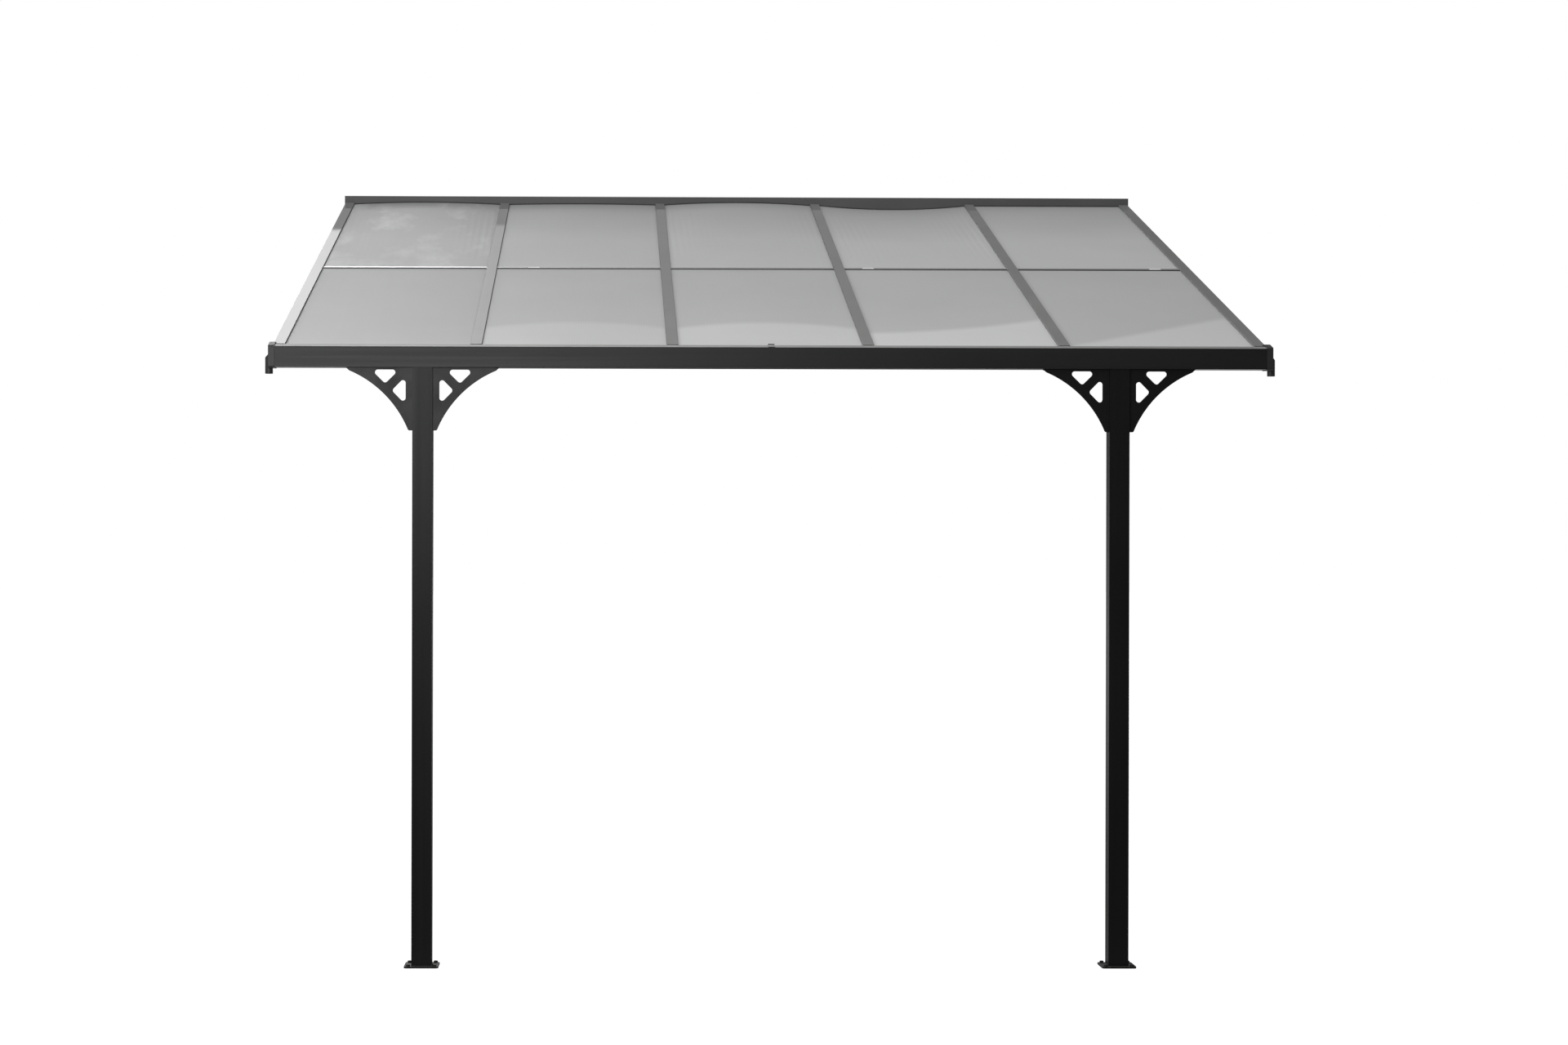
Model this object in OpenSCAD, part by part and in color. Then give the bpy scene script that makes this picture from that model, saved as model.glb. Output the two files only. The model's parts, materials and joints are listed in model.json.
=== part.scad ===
// Wall-mounted patio cover: a sloping sheet roof on six rafters, hung on a wall ledger
// and carried at the front by a gutter beam on two posts with arched corner brackets.
// Origin: centre of the ledger's flat back face. X runs along the wall, the roof
// reaches towards -Y and Z is up.

/* [Overall] */
// Width over the gutter end caps
roof_w = 3600; // [2600:10:4400]
// Depth from the wall to the front face of the gutter
roof_d = 3000; // [2000:10:3600]
// Slope of the roof in degrees
slope = 15.85; // [9:0.05:20]
// Clear height under the gutter
headroom = 2147; // [1900:1:2500]

/* [Wall ledger] */
// Distance of the ledger's ends inside the gutter's ends
ledger_inset = 9; // [0:1:12]
// Depth of the ledger from the wall
ledger_d = 40; // [30:1:60]
// Height of the ledger with its screw flange
ledger_h = 120; // [110:1:160]
// Height of the ledger's face above the rafter caps
ledger_face = 30; // [15:1:45]
// Wall thickness of the ledger
ledger_wall = 3; // [2:0.5:5]
// Length of the shelf under the rafter ends
shelf_len = 38; // [25:1:60]
// Radius of the wall bolt holes
wall_bolt_r = 5.5; // [3:0.5:8]
// Distance of the outer wall bolts from the roof's sides
wall_bolt_inset = 300; // [100:10:400]
// Height of the wall bolts above the ledger's lower edge
wall_bolt_up = 16; // [12:1:24]
// Thickness of the ledger's end caps
ledger_cap = 3; // [2:0.5:6]

/* [Rafters] */
// Distance of the outer rafter centres inside the gutter's ends
rafter_inset = 33; // [30:1:60]
// Height of a rafter with its cap
rafter_h = 52; // [44:1:70]
// Width of a rafter's seat flanges and of its cap
rafter_w = 40; // [32:1:50]
// Width of a rafter's box section
rafter_box = 30; // [22:1:32]
// Wall thickness of a rafter
rafter_wall = 2.2; // [1.6:0.1:3]
// Height of the cap above the sheets
cap_h = 8; // [5:0.5:12]
// Wall thickness of the cap
cap_wall = 2; // [1.5:0.1:3]
// Width of the rafter's screw slot
slot_w = 6; // [4:0.5:8]
// Wall thickness of the rafters' end plugs
plug_t = 2; // [1.5:0.1:3]
// Length of a plug's boss inside the rafter
plug_in = 15; // [8:1:30]
// Distance of the rafter ends behind the gutter's front
rafter_back = 66; // [56:1:70]

/* [Roof sheets] */
// Thickness of a roof sheet
sheet_t = 6; // [4:0.5:10]
// Width of sheet held under a rafter cap
sheet_grip = 13; // [10:0.5:14]
// Distance of the sheets' lower ends behind the gutter's front
sheet_back = 55; // [48:1:62]
// Crown of the upper sheet at the ledger in bay 1, seen from the left
bow_1 = 9; // [-20:1:20]
// Crown of the upper sheet in bay 2
bow_2 = 4; // [-20:1:20]
// Crown of the upper sheet in bay 3
bow_3 = 12; // [-20:1:20]
// Crown of the upper sheet in bay 4
bow_4 = -17; // [-20:1:20]
// Crown of the upper sheet in bay 5
bow_5 = 0; // [-20:1:20]
// Share of the roof length below the cross joint
joint_share = 0.495; // [0.3:0.005:0.7]
// Width of the cross joint's flanges
joint_w = 36; // [24:1:50]
// Thickness of the cross joint's flanges and web
joint_wall = 1.5; // [1:0.1:2.5]
// Length of a joint clip
clip_len = 46; // [30:1:60]
// Width of the channel over the sheets' lower ends
trim_w = 18; // [10:1:25]
// Wall thickness of that channel
trim_t = 1.2; // [0.8:0.1:2]

/* [Gutter] */
// Depth of the gutter beam
gutter_d = 80; // [74:1:110]
// Height of the gutter's front face below its lip
gutter_h = 74; // [68:1:100]
// Depth of the sloping lip over the gutter
lip_run = 34; // [25:1:40]
// Height of the hem on the lip's free edge
lip_hem = 8; // [4:0.5:12]
// Wall thickness of the gutter
gutter_wall = 2.5; // [2:0.1:3]
// Height of the rafter cap plane over the gutter's underside, at the front
gutter_drop = 69; // [64:0.5:74]
// Length of the seat flange behind the gutter
seat_len = 30; // [20:1:45]
// Length of the splice inside the gutter
splice_len = 160; // [100:5:240]
// Wall thickness of the splice and its clip
splice_t = 2; // [1.5:0.1:3]
// Width of the clip over the lip
lip_clip_w = 23; // [15:1:40]

/* [Gutter ends] */
// Width of an end cap's rim
rim_w = 22; // [12:1:26]
// Wall thickness of an end cap
end_wall = 2.2; // [1.6:0.1:3]
// Height of an end cap above the lip's free edge
end_rise = 9; // [6:0.5:14]
// Corner radius of an end cap's inside
end_r = 4; // [2:0.5:6]
// Outer radius of the spout
spout_r = 14; // [12:0.5:18]
// Inner radius of the spout
spout_bore = 11.5; // [8:0.5:11.5]
// Length of the spout below the gutter
spout_drop = 23; // [15:1:60]
// Height of the spout's shoulder above the gutter's underside
spout_top = 48; // [40:1:52]
// Height of the spout's closed bore above the gutter's underside
bore_top = 25; // [15:1:30]
// Distance of the spouts' axes outside the gutter's ends
spout_out = 0.6; // [0:0.1:4]
// Width of the spout's way in from the gutter
spout_gate = 17; // [10:1:20]

/* [Posts] */
// Side of a square post
post_w = 72; // [60:1:78]
// Wall thickness of a post
post_wall = 2.5; // [2:0.1:4]
// Distance of the post centres inside the gutter's ends
post_inset = 551; // [320:1:700]
// Side of a base plate
base_w = 123; // [112:1:180]
// Thickness of a base plate
base_t = 6; // [4:0.5:10]
// Corner radius of a base plate
base_r = 10; // [4:0.5:12]
// Spacing of the anchor holes
anchor_gap = 94; // [90:1:98]
// Radius of an anchor hole
anchor_r = 4.5; // [3:0.5:5]
// Height of the spigots inside a post
spigot_h = 80; // [40:1:120]
// Thickness of the head plate on a post
head_t = 4; // [3:0.5:6]

/* [Brackets] */
// Reach of a bracket along the gutter
bracket_reach = 239; // [200:1:280]
// Drop of a bracket down the post
bracket_drop = 226; // [200:1:280]
// Radius of a bracket's arched edge
arch_r = 391; // [300:1:600]
// Height of a bracket's tip
tip_w = 12; // [8:0.5:16]
// Distance of the arch's upper end inside the bracket's tip
tip_in = 14; // [8:1:20]
// Width of a bracket's toe on the post
toe_w = 19; // [16:0.5:22]
// Corner radius of the toe
toe_r = 10; // [6:0.5:14]
// Height of the arch's lower end above the toe
toe_up = 16; // [12:0.5:22]
// Distance of a bracket's plate behind the post's front
bracket_set = 8; // [0:1:24]
// Thickness of a bracket's plate
bracket_t = 5; // [3:0.5:8]
// Width of a bracket's flanges
flange_w = 40; // [20:1:60]
// Thickness of a bracket's flanges
flange_t = 3; // [2:0.5:5]
// Distance of the flanges' ends inside the bracket's ends
flange_back = 6; // [3:1:12]
// Radius of the corners of a bracket's cut-outs
cut_r = 10; // [6:0.5:12]
// Length of a cut-out's straight side between its corner centres
cut_len = 53; // [40:1:60]
// Distance of a cut-out's third corner centre from that side
cut_deep = 26; // [18:1:30]
// Distance of the upper cut-out's corner centres below the gutter
cut_top = 18; // [15:1:24]
// Distance of the upper cut-out's corner centres from the post
cut_in = 71; // [60:1:80]
// Distance of the lower cut-out's corner centres from the post
cut_side = 34; // [25:1:36]
// Distance of the lower cut-out's corner centres below the gutter
cut_down = 56; // [50:1:66]

/* [Fits] */
// Clearance between pieces that seat on each other
fit = 0.3; // [0.1:0.05:0.5]

/* [Hidden] */

bays = 5;
bows = [bow_1, bow_2, bow_3, bow_4, bow_5];
ledger_w = roof_w - 2 * ledger_inset;
rafter_span = roof_w - 2 * rafter_inset;
post_span = roof_w - 2 * post_inset;
bay_w = rafter_span / bays;
wall_bolts = 6;
wall_bolt_gap = (roof_w - 2 * wall_bolt_inset) / (wall_bolts - 1);
// Rafter cap plane at the ledger's face, and the levels that hang from it
plane_z = ledger_h / 2 - ledger_face;
gutter_z = plane_at(roof_d) - gutter_drop;
ground_z = gutter_z - headroom;
// Normal distances below the rafter cap plane
sheet_top = -cap_h;
sheet_low = sheet_top - sheet_t;
seat_top = sheet_low - fit;
// Distances down the slope from the ledger's face
rafter_s = slope_len(roof_d - rafter_back);
sheet_s = slope_len(roof_d - sheet_back);
joint_s = sheet_s * (1 - joint_share);
sheet_gap = joint_wall / 2 + fit;
sheet_w = bay_w - rafter_w + 2 * sheet_grip;
clear_w = bay_w - rafter_w - 2;
gutter_y = -roof_d + gutter_d / 2;
gutter_end = roof_w / 2 - end_wall - 2 * fit;
spout_x = roof_w / 2 + spout_out;
post_top = gutter_z - head_t;
post_in = post_w - 2 * post_wall;
arc_fn = 1440;

metal = [0.13, 0.13, 0.135];
trim = [0.08, 0.08, 0.085];
clear_sheet = [0.66, 0.67, 0.68, 0.85];
clip_white = [0.9, 0.9, 0.9];

// Height of the rafter cap plane at a distance from the wall
function plane_at(d) = plane_z - tan(slope) * (d - ledger_d);
// Length down the slope from the ledger's face to a distance from the wall
function slope_len(d) = (d - ledger_d) / cos(slope);
// Height of a layer that lies t above the cap plane, at a distance from the wall
function layer_at(t, d) = plane_at(d) + t / cos(slope);
function rafter_x(i) = -rafter_span / 2 + (i - 1) * bay_w;
function bay_x(i) = rafter_x(i) + bay_w / 2;
// Points a radius r outside the edges of a polygon, for its rounded outline
function unit(v) = v / norm(v);
function edge_out(a, b, r) = let (d = unit(b - a)) [a + r * [d.y, -d.x], b + r * [d.y, -d.x]];
function rounded_points(p, r) = [for (i = [0 : len(p) - 1]) for (q = edge_out(p[i], p[(i + 1) % len(p)], r)) q];

// Polygon given by the centres of its round corners, anticlockwise. Its straight sides
// stand a hair inside the circles, so that the two meet in clean corners.
module rounded(p, r) {
    polygon(rounded_points(p, r - 0.02));
    for (c = p) translate(c) circle(r = r, $fn = 48);
}

module rounded_square(w, r) {
    c = w / 2 - r;
    rounded([[-c, -c], [c, -c], [c, c], [-c, c]], r);
}

// Roof frame: X along the wall, -Y down the slope, Z normal to the roof, zero on the cap plane
module on_roof() translate([0, -ledger_d, plane_z]) rotate([slope, 0, 0]) children();

// Runs a section drawn in X and the roof's normal down the slope from s to s + run
module down_slope(s, run) translate([0, -s, 0]) rotate([90, 0, 0]) linear_extrude(run) children();

// Runs a section drawn in Y and Z along X, from x to x + run
module along_x(x, run) translate([x, 0, 0]) rotate([90, 0, 90]) linear_extrude(run) children();

// Keeps what lies in front of the ledger's face
module clear_of_ledger() intersection() {
    children();
    translate([-roof_w, -2 * roof_d, -roof_d]) cube([2 * roof_w, 2 * roof_d - ledger_d - fit, 2 * roof_d]);
}

module both_ways(side) scale([side, 1, 1]) children();

// Wall ledger
module ledger_outline() {
    shelf_z = layer_at(-rafter_h - fit, ledger_d);
    drop = tan(slope) * shelf_len;
    polygon([
        [0, -ledger_h / 2], [0, ledger_h / 2], [-ledger_d, ledger_h / 2],
        [-ledger_d, shelf_z], [-ledger_d - shelf_len, shelf_z - drop],
        [-ledger_d - shelf_len, shelf_z - drop - ledger_wall], [-ledger_d, shelf_z - ledger_wall],
        [-ledger_wall, shelf_z - ledger_wall], [-ledger_wall, -ledger_h / 2]
    ]);
}

module ledger_chamber() {
    low = layer_at(-rafter_h - fit, ledger_d) + ledger_wall;
    translate([-ledger_d + ledger_wall, low])
        square([ledger_d - 2 * ledger_wall, ledger_h / 2 - ledger_wall - low]);
}

module wall_ledger() color(metal) difference() {
    along_x(-ledger_w / 2 + ledger_cap, ledger_w - 2 * ledger_cap) difference() {
        ledger_outline();
        ledger_chamber();
    }
    for (k = [0 : wall_bolts - 1]) translate([-roof_w / 2 + wall_bolt_inset + k * wall_bolt_gap, 1,
        -ledger_h / 2 + wall_bolt_up])
        rotate([90, 0, 0]) cylinder(r = wall_bolt_r, h = ledger_wall + 2, $fn = 48);
}

module ledger_end_caps() color(trim) for (side = [-1, 1]) both_ways(side)
    along_x(ledger_w / 2 - ledger_cap, ledger_cap) ledger_outline();

// Rafters and their caps
module rafter_section() {
    seat_low = seat_top - rafter_wall;
    fin_top = -cap_wall - 2;
    difference() {
        union() {
            translate([-rafter_w / 2, seat_low]) square([rafter_w, rafter_wall]);
            translate([-rafter_box / 2, -rafter_h]) square([rafter_box, rafter_h + seat_low + 0.1]);
            for (side = [-1, 1]) translate([side * (slot_w + rafter_wall) / 2 - rafter_wall / 2, seat_low])
                square([rafter_wall, fin_top - seat_low]);
        }
        translate([-rafter_box / 2 + rafter_wall, -rafter_h + rafter_wall])
            square([rafter_box - 2 * rafter_wall, rafter_h + seat_low - rafter_wall]);
    }
}

module rafter(i) color(metal) clear_of_ledger() on_roof()
    translate([rafter_x(i), 0, 0]) down_slope(-ledger_d / 2, rafter_s + ledger_d / 2) rafter_section();

module cap_section(left_open, right_open) {
    leg = sheet_top + fit;
    hook = seat_top + fit;
    difference() {
        translate([-rafter_w / 2, leg]) square([rafter_w, -leg]);
        translate([-rafter_w / 2 + cap_wall, leg - 1]) square([rafter_w - 2 * cap_wall, -leg - cap_wall + 1]);
    }
    // snap hook between the rafter's fins
    for (side = [-1, 1]) translate([side * (slot_w / 2 - fit - cap_wall / 2) - cap_wall / 2, hook])
        square([cap_wall, -hook - cap_wall / 2]);
    // an edge cap closes the open side down to the seat flange
    if (left_open) translate([-rafter_w / 2, hook]) square([cap_wall, -hook]);
    if (right_open) translate([rafter_w / 2 - cap_wall, hook]) square([cap_wall, -hook]);
}

module rafter_cap(i) color(metal) clear_of_ledger() on_roof()
    translate([rafter_x(i), 0, 0]) down_slope(-ledger_d / 2, rafter_s + ledger_d / 2)
        cap_section(i == 1, i == bays + 1);

// Plugs that close the rafters' lower ends, each with a boss inside the box section
module rafter_end_plug(i) on_roof() translate([rafter_x(i), 0, 0]) {
    seat_low = seat_top - rafter_wall;
    slack = rafter_wall + fit;
    over = sheet_top + fit;
    // plate over the box section and its flanges, between the sheets, and over the cap
    down_slope(rafter_s, plug_t) {
        translate([-rafter_box / 2, -rafter_h]) square([rafter_box, rafter_h + seat_top]);
        translate([-rafter_w / 2, seat_low]) square([rafter_w, rafter_wall]);
        translate([-slot_w / 2 - rafter_wall, seat_low]) square([slot_w + 2 * rafter_wall, -seat_low]);
        translate([-rafter_w / 2, over]) square([rafter_w, -over]);
    }
    down_slope(rafter_s - plug_in, plug_in + 1) difference() {
        translate([-rafter_box / 2 + slack, -rafter_h + slack])
            square([rafter_box - 2 * slack, rafter_h + seat_low - 2 * slack + rafter_wall]);
        translate([-rafter_box / 2 + slack + plug_t, -rafter_h + slack + plug_t])
            square([rafter_box - 2 * slack - 2 * plug_t, rafter_h + seat_low - 2 * slack + rafter_wall - 2 * plug_t]);
    }
}

module rafter_end_plugs() color(trim) for (i = [1 : bays + 1]) rafter_end_plug(i);

// Upper sheet: crowned or sagging at the ledger between flat margins, and flat at the cross joint
function crown(u, bow) = let (half = (bay_w - rafter_w) / 2) bow * max(0, 1 - u * u / (half * half));

module sheet_upper(i) color(clear_sheet) clear_of_ledger() on_roof() translate([bay_x(i), 0, sheet_top]) {
    bow = bows[i - 1];
    half = (bay_w - rafter_w) / 2;
    strips = 24;
    across = concat([-sheet_w / 2], [for (k = [0 : strips]) -half + k * 2 * half / strips], [sheet_w / 2]);
    cols = len(across);
    // distance down the slope and share of the crown
    rows = [[-ledger_d / 2, 1], [joint_s - joint_w / 2, 0], [joint_s - sheet_gap, 0]];
    under = cols * len(rows);
    points = [for (low = [0, sheet_t], row = rows, u = across) [u, -row[0], crown(u, bow) * row[1] - low]];
    faces = concat(
        [for (j = [0 : len(rows) - 2], k = [0 : cols - 2]) let (a = j * cols + k, b = a + 1, c = b + cols,
            d = a + cols) each [[a, b, c], [a, c, d], [under + c, under + b, under + a],
            [under + d, under + c, under + a]]],
        [for (j = [0 : len(rows) - 2]) let (a = j * cols, d = a + cols, b = a + cols - 1, c = b + cols)
            each [[a, d, under + d], [a, under + d, under + a], [c, b, under + b], [c, under + b, under + c]]],
        [for (k = [0 : cols - 2]) let (a = k, b = a + 1, d = cols * (len(rows) - 1) + k, c = d + 1)
            each [[b, a, under + a], [b, under + a, under + b], [d, c, under + c], [d, under + c, under + d]]]
    );
    polyhedron(points = points, faces = faces, convexity = 4);
}

module sheet_lower(i) color(clear_sheet) on_roof()
    translate([bay_x(i), 0, 0]) down_slope(joint_s + sheet_gap, sheet_s - joint_s - sheet_gap)
        translate([-sheet_w / 2, sheet_low]) square([sheet_w, sheet_t]);

// Cross joint: an H section that holds the ends of the upper and the lower sheet
module sheet_joint(i) on_roof() translate([bay_x(i) - clear_w / 2, 0, 0]) {
    over = sheet_top + fit;
    under = sheet_low - fit - joint_wall;
    down_slope(joint_s - joint_w / 2, joint_w) translate([0, over]) square([clear_w, joint_wall]);
    down_slope(joint_s - joint_w / 2, joint_w) translate([0, under]) square([clear_w, joint_wall]);
    down_slope(joint_s - joint_wall / 2, joint_wall) translate([0, under])
        square([clear_w, over - under + joint_wall]);
}

module sheet_joints() color(metal) for (i = [1 : bays]) sheet_joint(i);

// Channel over the lower end of a sheet
module sheet_end_trim(i) on_roof() translate([bay_x(i) - clear_w / 2, 0, 0]) {
    over = sheet_top + fit;
    under = sheet_low - fit - trim_t;
    down_slope(sheet_s - trim_w, trim_w + fit + trim_t) translate([0, over]) square([clear_w, trim_t]);
    down_slope(sheet_s - trim_w, trim_w + fit + trim_t) translate([0, under]) square([clear_w, trim_t]);
    down_slope(sheet_s + fit, trim_t) translate([0, under]) square([clear_w, over - under + trim_t]);
}

module sheet_end_trims() color(metal) for (i = [1 : bays]) sheet_end_trim(i);

// Small clips on the cross joint of three bays, at a share of the bay's width
clip_places = [[2, 0.24], [4, 0.17], [5, 0.83]];

module joint_clips() color(clip_white) on_roof() for (c = clip_places)
    translate([bay_x(c[0]) + (c[1] - 0.5) * bay_w - clip_len / 2, -joint_s - joint_w / 4,
        sheet_top + fit + joint_wall])
        cube([clip_len, joint_w / 2, joint_wall]);

// Gutter beam
// Height of the lip's upper side at a distance behind the gutter's front
function lip_top(d) = gutter_z + gutter_h + tan(slope) * d;

// Closed section: front wall, sloping lip with its hem, floor, back wall and the rafters' seat
module gutter_outline() {
    front = -roof_d;
    back = front + gutter_d;
    seat = layer_at(-rafter_h - fit, roof_d - gutter_d);
    rise = tan(slope);
    thick = gutter_wall / cos(slope);
    polygon([
        [front, gutter_z], [back, gutter_z], [back, seat - gutter_wall - thick / 2],
        [back + seat_len, seat + rise * seat_len - thick], [back + seat_len, seat + rise * seat_len],
        [back - gutter_wall, seat - rise * gutter_wall], [back - gutter_wall, gutter_z + gutter_wall],
        [front + gutter_wall, gutter_z + gutter_wall], [front + gutter_wall, lip_top(gutter_wall) - thick],
        [front + lip_run - gutter_wall, lip_top(lip_run - gutter_wall) - thick],
        [front + lip_run - gutter_wall, lip_top(lip_run) - lip_hem],
        [front + lip_run, lip_top(lip_run) - lip_hem], [front + lip_run, lip_top(lip_run)],
        [front, lip_top(0)]
    ]);
}

module spout_hole(side) translate([side * spout_x, gutter_y, gutter_z - 30])
    cylinder(r = spout_r + fit, h = 30 + spout_top, $fn = 64);

module gutter_half(side) color(metal) difference() {
    both_ways(side) along_x(fit / 2, gutter_end - fit / 2) gutter_outline();
    spout_hole(side);
}

module gutter_splice() color(metal) {
    front = -roof_d + gutter_wall + fit;
    low = gutter_z + gutter_wall + fit;
    back = -roof_d + gutter_d - gutter_wall - fit;
    wall_top = lip_top(gutter_wall) - (gutter_wall + 2 * fit) / cos(slope);
    along_x(-splice_len / 2, splice_len) {
        translate([front, low]) square([back - front, splice_t]);
        translate([front, low]) square([splice_t, wall_top - low]);
        translate([back - splice_t, low]) square([splice_t, gutter_h / 3]);
    }
    along_x(-lip_clip_w / 2, lip_clip_w) lip_clip(wall_top);
}

// Clip round the lip: a plate over it, a back wall with a raised bead and a tongue to the splice
module lip_clip(wall_top) {
    front = -roof_d;
    rise = tan(slope);
    skin = fit / cos(slope);
    thick = splice_t / cos(slope);
    end = lip_run + fit + splice_t;
    over = lip_top(0) + skin;
    under = lip_top(lip_run) - lip_hem - fit - rise * lip_run;
    tongue = gutter_wall + fit;
    bead = splice_t / 2;
    polygon([
        [front, over], [front + end - bead, over + rise * (end - bead)],
        [front + end - bead, over + rise * (end - bead) + thick], [front, over + thick]
    ]);
    translate([front + lip_run + fit, under + rise * lip_run - splice_t])
        square([splice_t, lip_hem + splice_t + fit + 2 * thick + bead]);
    polygon([
        [front + tongue, under + rise * tongue - thick], [front + end - bead, under + rise * (end - bead) - thick],
        [front + end - bead, under + rise * (end - bead)], [front + tongue, under + rise * tongue]
    ]);
}

// End caps of the gutter, each a tray that slips over the gutter's end
module end_outline(grow) {
    r = end_r + grow;
    front = -roof_d - fit + end_r;
    low = gutter_z - fit + end_r;
    knee = lip_top(0) + fit - end_r / 2;
    top = lip_top(lip_run) + end_rise - end_wall - end_r;
    back = -roof_d + gutter_d + fit - end_r;
    rounded([[front, low], [back, low], [back, top], [front + (top - knee) / tan(slope), top], [front, knee]], r);
}

module end_way_in() {
    seat = layer_at(-rafter_h - 2 * fit, roof_d - gutter_d) - gutter_wall - 3;
    translate([-roof_d + gutter_d - gutter_wall - 1, seat])
        square([gutter_d, tan(slope) * gutter_d + gutter_h]);
}

module gutter_end(side) color(trim) difference() {
    both_ways(side) {
        along_x(roof_w / 2 - end_wall, end_wall) end_outline(end_wall);
        along_x(roof_w / 2 - rim_w, rim_w - end_wall / 2) difference() {
            end_outline(end_wall);
            end_outline(0);
            end_way_in();
        }
    }
    spout_hole(side);
}

// Spout with a sloping shoulder, open to the gutter and downwards
module spout(side) color(trim) both_ways(side) translate([spout_x, gutter_y, gutter_z]) difference() {
    intersection() {
        translate([0, 0, -spout_drop]) cylinder(r = spout_r, h = spout_drop + spout_top - 1, $fn = 96);
        rotate([90, 0, 0]) translate([0, 0, -spout_r - 1]) linear_extrude(2 * spout_r + 2) polygon([
            [-spout_r - 1, -spout_drop - 1], [spout_r + 1, -spout_drop - 1],
            [spout_r + 1, spout_top - spout_r - 1], [0, spout_top], [-spout_r - 1, spout_top]
        ]);
    }
    translate([0, 0, -spout_drop - 1]) cylinder(r = spout_bore, h = spout_drop + 1 + bore_top, $fn = 96);
    translate([-spout_r - 1, -spout_gate / 2, gutter_wall])
        cube([spout_r + 1, spout_gate, bore_top - gutter_wall - 0.5]);
}

// Posts
module at_post(side) translate([side * post_span / 2, gutter_y, 0]) children();

module post(side) color(metal) at_post(side)
    translate([0, 0, ground_z + base_t]) linear_extrude(post_top - ground_z - base_t) difference() {
        square(post_w, center = true);
        square(post_in, center = true);
    }

module spigot(h) linear_extrude(h) difference() {
    square(post_in - 2 * fit, center = true);
    square(post_in - 2 * fit - 2 * post_wall, center = true);
}

module post_head(side) color(metal) at_post(side) {
    translate([0, 0, post_top]) linear_extrude(head_t) square(post_w, center = true);
    translate([0, 0, post_top - spigot_h]) spigot(spigot_h + 0.01);
}

module base_plate(side) color(metal) at_post(side) translate([0, 0, ground_z]) {
    linear_extrude(base_t) difference() {
        rounded_square(base_w, base_r);
        for (x = [-1, 1], y = [-1, 1]) translate([x, y] * anchor_gap / 2) circle(r = anchor_r, $fn = 48);
    }
    translate([0, 0, base_t - 0.01]) spigot(spigot_h);
}

// Arched corner brackets, drawn from the corner of post and gutter:
// x along the gutter, y up
module bracket_plate() {
    low = -bracket_drop;
    a = [bracket_reach - tip_in, -tip_w];
    b = [toe_w + toe_r / 4, low + toe_up];
    mid = (a + b) / 2;
    half = norm(a - b) / 2;
    across = unit(a - b);
    centre = mid + sqrt(arch_r * arch_r - half * half) * [across.y, -across.x];
    // the outline runs a little inside the arch, which then cuts it
    inside = tip_w / 2;
    toe = [for (t = [-90 : 10 : -10]) [toe_w - toe_r, low + toe_r] + toe_r * [cos(t), sin(t)]];
    difference() {
        polygon(concat([[0, 0], [0, low]], toe, [b + [inside, inside], a - [inside, inside],
            [bracket_reach, 0]]));
        translate(centre) circle(r = arch_r, $fn = arc_fn);
        // upper cut-out with its flat side up, and the lower one that mirrors it
        rounded([[cut_in + cut_len / 2, -cut_top - cut_deep], [cut_in + cut_len, -cut_top],
            [cut_in, -cut_top]], cut_r);
        rounded([[cut_side, -cut_down - cut_len], [cut_side + cut_deep, -cut_down - cut_len / 2],
            [cut_side, -cut_down]], cut_r);
    }
}

// The plate stands near the post's front and its flanges run back from it
module bracket(side, way) color(metal) at_post(side) both_ways(way)
    translate([post_w / 2 + fit, -post_w / 2 + bracket_set, gutter_z - fit]) {
        rotate([90, 0, 0]) translate([0, 0, -bracket_t]) linear_extrude(bracket_t) bracket_plate();
        translate([0, 0, -flange_t]) cube([bracket_reach - flange_back, flange_w, flange_t]);
        translate([0, 0, -bracket_drop + flange_back]) cube([flange_t, flange_w, bracket_drop - flange_back]);
    }

wall_ledger();
ledger_end_caps();
for (i = [1 : bays + 1]) rafter(i);
for (i = [1 : bays + 1]) rafter_cap(i);
for (i = [1 : bays]) sheet_upper(i);
for (i = [1 : bays]) sheet_lower(i);
sheet_joints();
joint_clips();
sheet_end_trims();
rafter_end_plugs();
gutter_half(-1);  // gutter_left
gutter_half(1);  // gutter_right
gutter_splice();
gutter_end(-1);  // gutter_end_left
gutter_end(1);  // gutter_end_right
spout(-1);  // spout_left
spout(1);  // spout_right
post(-1);  // post_left
post(1);  // post_right
post_head(-1);  // post_head_left
post_head(1);  // post_head_right
bracket(-1, -1);  // bracket_left_outer
bracket(-1, 1);  // bracket_left_inner
bracket(1, -1);  // bracket_right_inner
bracket(1, 1);  // bracket_right_outer
base_plate(-1);  // base_plate_left
base_plate(1);  // base_plate_right
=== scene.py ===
"""Patio cover: finishes, fasteners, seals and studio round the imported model, laid out as an add-on."""

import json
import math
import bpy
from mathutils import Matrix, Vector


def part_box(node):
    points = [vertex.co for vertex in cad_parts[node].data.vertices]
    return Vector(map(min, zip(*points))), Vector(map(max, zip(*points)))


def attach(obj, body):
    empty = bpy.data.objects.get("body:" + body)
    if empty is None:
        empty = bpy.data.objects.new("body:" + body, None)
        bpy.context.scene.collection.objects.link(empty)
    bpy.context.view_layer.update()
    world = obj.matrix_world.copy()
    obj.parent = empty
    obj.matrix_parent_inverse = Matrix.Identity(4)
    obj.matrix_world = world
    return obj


bl_info = {
    "name": "Patio cover",
    "version": (1, 0, 0),
    "blender": (4, 5, 0),
    "location": "3D View > Sidebar > Patio cover",
    "description": "Powder coat, roof sheets, fasteners, seals and studio for a wall-mounted patio cover",
    "category": "Object",
}

import bmesh
import bpy
from bpy.props import FloatProperty, FloatVectorProperty, IntProperty, PointerProperty
from bpy.types import Operator, Panel, PropertyGroup
from mathutils import Matrix, Vector

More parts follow.
